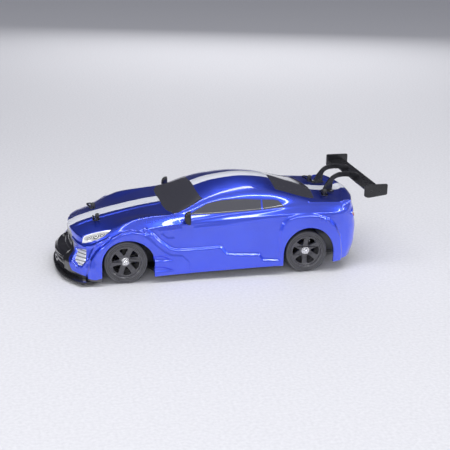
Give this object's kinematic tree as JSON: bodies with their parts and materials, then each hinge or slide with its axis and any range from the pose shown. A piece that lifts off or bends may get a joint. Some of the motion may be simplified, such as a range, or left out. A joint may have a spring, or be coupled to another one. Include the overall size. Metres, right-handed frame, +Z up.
{
  "type": "remote control car",
  "caption": "Four-wheel-drive model drift car: a lift-off moulded coupe shell with a rear wing over a tub chassis with sprung arms, linked steering and a driven centre shaft.",
  "frame": {"origin": "on the ground, on the centreline, under the middle of the overall length", "axes": "+X towards the nose, +Y towards the car's left, +Z up"},
  "size_m": [0.313, 0.1272, 0.0864],
  "materials": {
    "blue_shell": "gloss blue painted vacuum-formed shell with a silver centre stripe",
    "black_gloss": "gloss black moulded trim",
    "black_plastic": "fine-grained moulded nylon",
    "tyre_rubber": "smooth slick drift tyre",
    "rim_plastic": "dark gunmetal moulded rim",
    "steel": "plated steel",
    "spring_steel": "bright spring wire",
    "gear_plastic": "natural acetal",
    "electronics": "satin moulded case",
    "battery_wrap": "shrink-wrapped battery pack",
    "tank_plastic": "smoked moulded tank",
    "foam": "closed-cell foam"
  },
  "bodies": {
    "chassis": {"chassis_tub": "black_plastic", "front_gearbox": "black_plastic", "rear_gearbox": "black_plastic", "front_tower": "black_plastic", "rear_tower": "black_plastic", "bumper_foam": "foam", "motor": "steel", "steering_servo": "electronics", "control_box": "electronics", "battery_pack": "battery_wrap", "mist_tank": "tank_plastic", "shock_body_front_left": "black_plastic", "shock_body_front_right": "black_plastic", "shock_body_rear_left": "black_plastic", "shock_body_rear_right": "black_plastic"},
    "shell": {"body_shell": "blue_shell", "front_lip": "black_gloss", "wing_blade": "black_gloss", "wing_stay_left": "black_gloss", "wing_stay_right": "black_gloss", "mirror_left": "black_gloss", "mirror_right": "black_gloss"},
    "battery_door": {"battery_door": "black_plastic"},
    "power_switch": {"power_switch": "black_gloss"},
    "servo_horn": {"servo_horn": "black_plastic"},
    "steering_bar": {"steering_bar": "black_plastic"},
    "centre_shaft": {"centre_shaft": "gear_plastic"},
    "motor_pinion": {"motor_pinion": "steel"},
    "arm_front_left": {"arm_front_left": "black_plastic"},
    "wheel_front_left": {"axle_front_left": "steel", "rim_front_left": "rim_plastic", "tyre_front_left": "tyre_rubber"},
    "shock_rod_front_left": {"shock_rod_front_left": "steel", "spring_front_left": "spring_steel"},
    "clip_front_left": {"clip_front_left": "steel"},
    "knuckle_left": {"knuckle_left": "black_plastic"},
    "half_shaft_left": {"half_shaft_left": "steel"},
    "arm_front_right": {"arm_front_right": "black_plastic"},
    "wheel_front_right": {"axle_front_right": "steel", "rim_front_right": "rim_plastic", "tyre_front_right": "tyre_rubber"},
    "shock_rod_front_right": {"shock_rod_front_right": "steel", "spring_front_right": "spring_steel"},
    "clip_front_right": {"clip_front_right": "steel"},
    "knuckle_right": {"knuckle_right": "black_plastic"},
    "half_shaft_right": {"half_shaft_right": "steel"},
    "arm_rear_left": {"arm_rear_left": "black_plastic"},
    "wheel_rear_left": {"axle_rear_left": "steel", "rim_rear_left": "rim_plastic", "tyre_rear_left": "tyre_rubber"},
    "shock_rod_rear_left": {"shock_rod_rear_left": "steel", "spring_rear_left": "spring_steel"},
    "clip_rear_left": {"clip_rear_left": "steel"},
    "arm_rear_right": {"arm_rear_right": "black_plastic"},
    "wheel_rear_right": {"axle_rear_right": "steel", "rim_rear_right": "rim_plastic", "tyre_rear_right": "tyre_rubber"},
    "shock_rod_rear_right": {"shock_rod_rear_right": "steel", "spring_rear_right": "spring_steel"},
    "clip_rear_right": {"clip_rear_right": "steel"}
  },
  "joints": [
    {"name": "shell_lift", "type": "slide", "parent": "chassis", "child": "shell", "axis": [0, 0, 1], "range_m": [0, 0.09]},
    {"name": "battery_door_hinge", "type": "hinge", "parent": "chassis", "child": "battery_door", "pos_m": [0.0035, 0.043, 0.004], "axis": [1, 0, 0], "range_deg": [0, 100]},
    {"name": "power_switch_slide", "type": "slide", "parent": "chassis", "child": "power_switch", "axis": [1, 0, 0], "range_m": [0, 0.004]},
    {"name": "steer_left", "type": "hinge", "parent": "arm_front_left", "child": "knuckle_left", "pos_m": [0.0955, 0.044, 0], "axis": [0, 0, 1], "range_deg": [-25, 25]},
    {"name": "steer_right", "type": "hinge", "parent": "arm_front_right", "child": "knuckle_right", "pos_m": [0.0955, -0.044, 0], "axis": [0, 0, 1], "range_deg": [-25, 25]},
    {"name": "steering_bar_slide", "type": "slide", "parent": "chassis", "child": "steering_bar", "axis": [0, 1, 0], "range_m": [-0.0068, 0.0068]},
    {"name": "servo_horn_turn", "type": "hinge", "parent": "chassis", "child": "servo_horn", "pos_m": [0.0655, 0.014, 0], "axis": [0, 0, 1], "range_deg": [-25, 25]},
    {"name": "centre_shaft_spin", "type": "hinge", "parent": "chassis", "child": "centre_shaft", "pos_m": [0.0085, 0, 0.0205], "axis": [1, 0, 0], "continuous": true},
    {"name": "motor_pinion_spin", "type": "hinge", "parent": "chassis", "child": "motor_pinion", "pos_m": [0.0085, -0.0159, 0.0256], "axis": [1, 0, 0], "continuous": true},
    {"name": "bump_front_left", "type": "hinge", "parent": "chassis", "child": "arm_front_left", "pos_m": [0.0955, 0.013, 0.01], "axis": [1, 0, 0], "range_deg": [-4, 5], "stiffness_Nm_per_rad": 1.2, "springref_deg": -2.52},
    {"name": "shock_front_left", "type": "slide", "parent": "chassis", "child": "shock_rod_front_left", "axis": [0, -0.2669, 0.9637], "range_m": [-0.0012, 0.0015], "deforming": ["spring_front_left"]},
    {"name": "wheel_spin_front_left", "type": "hinge", "parent": "knuckle_left", "child": "wheel_front_left", "pos_m": [0.0955, 0, 0.0205], "axis": [0, 1, 0], "continuous": true},
    {"name": "half_shaft_spin_left", "type": "hinge", "parent": "arm_front_left", "child": "half_shaft_left", "pos_m": [0.0955, 0, 0.0205], "axis": [0, 1, 0], "continuous": true},
    {"name": "clip_front_left_pull", "type": "slide", "parent": "chassis", "child": "clip_front_left", "axis": [0, 1, 0], "range_m": [0, 0.012]},
    {"name": "bump_front_right", "type": "hinge", "parent": "chassis", "child": "arm_front_right", "pos_m": [0.0955, -0.013, 0.01], "axis": [-1, 0, 0], "range_deg": [-4, 5], "stiffness_Nm_per_rad": 1.2, "springref_deg": -2.52},
    {"name": "shock_front_right", "type": "slide", "parent": "chassis", "child": "shock_rod_front_right", "axis": [0, 0.2669, 0.9637], "range_m": [-0.0012, 0.0015], "deforming": ["spring_front_right"]},
    {"name": "wheel_spin_front_right", "type": "hinge", "parent": "knuckle_right", "child": "wheel_front_right", "pos_m": [0.0955, 0, 0.0205], "axis": [0, 1, 0], "continuous": true},
    {"name": "half_shaft_spin_right", "type": "hinge", "parent": "arm_front_right", "child": "half_shaft_right", "pos_m": [0.0955, 0, 0.0205], "axis": [0, 1, 0], "continuous": true},
    {"name": "clip_front_right_pull", "type": "slide", "parent": "chassis", "child": "clip_front_right", "axis": [0, -1, 0], "range_m": [0, 0.012]},
    {"name": "bump_rear_left", "type": "hinge", "parent": "chassis", "child": "arm_rear_left", "pos_m": [-0.0785, 0.013, 0.01], "axis": [1, 0, 0], "range_deg": [-4, 5], "stiffness_Nm_per_rad": 1.2, "springref_deg": -2.52},
    {"name": "shock_rear_left", "type": "slide", "parent": "chassis", "child": "shock_rod_rear_left", "axis": [0, -0.2669, 0.9637], "range_m": [-0.0012, 0.0015], "deforming": ["spring_rear_left"]},
    {"name": "wheel_spin_rear_left", "type": "hinge", "parent": "arm_rear_left", "child": "wheel_rear_left", "pos_m": [-0.0785, 0, 0.0205], "axis": [0, 1, 0], "continuous": true},
    {"name": "clip_rear_left_pull", "type": "slide", "parent": "chassis", "child": "clip_rear_left", "axis": [0, 1, 0], "range_m": [0, 0.012]},
    {"name": "bump_rear_right", "type": "hinge", "parent": "chassis", "child": "arm_rear_right", "pos_m": [-0.0785, -0.013, 0.01], "axis": [-1, 0, 0], "range_deg": [-4, 5], "stiffness_Nm_per_rad": 1.2, "springref_deg": -2.52},
    {"name": "shock_rear_right", "type": "slide", "parent": "chassis", "child": "shock_rod_rear_right", "axis": [0, 0.2669, 0.9637], "range_m": [-0.0012, 0.0015], "deforming": ["spring_rear_right"]},
    {"name": "wheel_spin_rear_right", "type": "hinge", "parent": "arm_rear_right", "child": "wheel_rear_right", "pos_m": [-0.0785, 0, 0.0205], "axis": [0, 1, 0], "continuous": true},
    {"name": "clip_rear_right_pull", "type": "slide", "parent": "chassis", "child": "clip_rear_right", "axis": [0, -1, 0], "range_m": [0, 0.012]}
  ],
  "couplings": [
    {"joint": "steer_right", "follows": "steer_left", "ratio": 1},
    {"joint": "steering_bar_slide", "follows": "steer_left", "m_per_rad": -0.0145},
    {"joint": "servo_horn_turn", "follows": "steer_left", "ratio": -1},
    {"joint": "motor_pinion_spin", "follows": "centre_shaft_spin", "ratio": -2.6667},
    {"joint": "shock_front_left", "follows": "bump_front_left", "m_per_rad": 0.0133},
    {"joint": "half_shaft_spin_left", "follows": "wheel_spin_front_left", "ratio": 1},
    {"joint": "shock_front_right", "follows": "bump_front_right", "m_per_rad": 0.0133},
    {"joint": "half_shaft_spin_right", "follows": "wheel_spin_front_right", "ratio": 1},
    {"joint": "shock_rear_left", "follows": "bump_rear_left", "m_per_rad": 0.0133},
    {"joint": "shock_rear_right", "follows": "bump_rear_right", "m_per_rad": 0.0133}
  ]
}
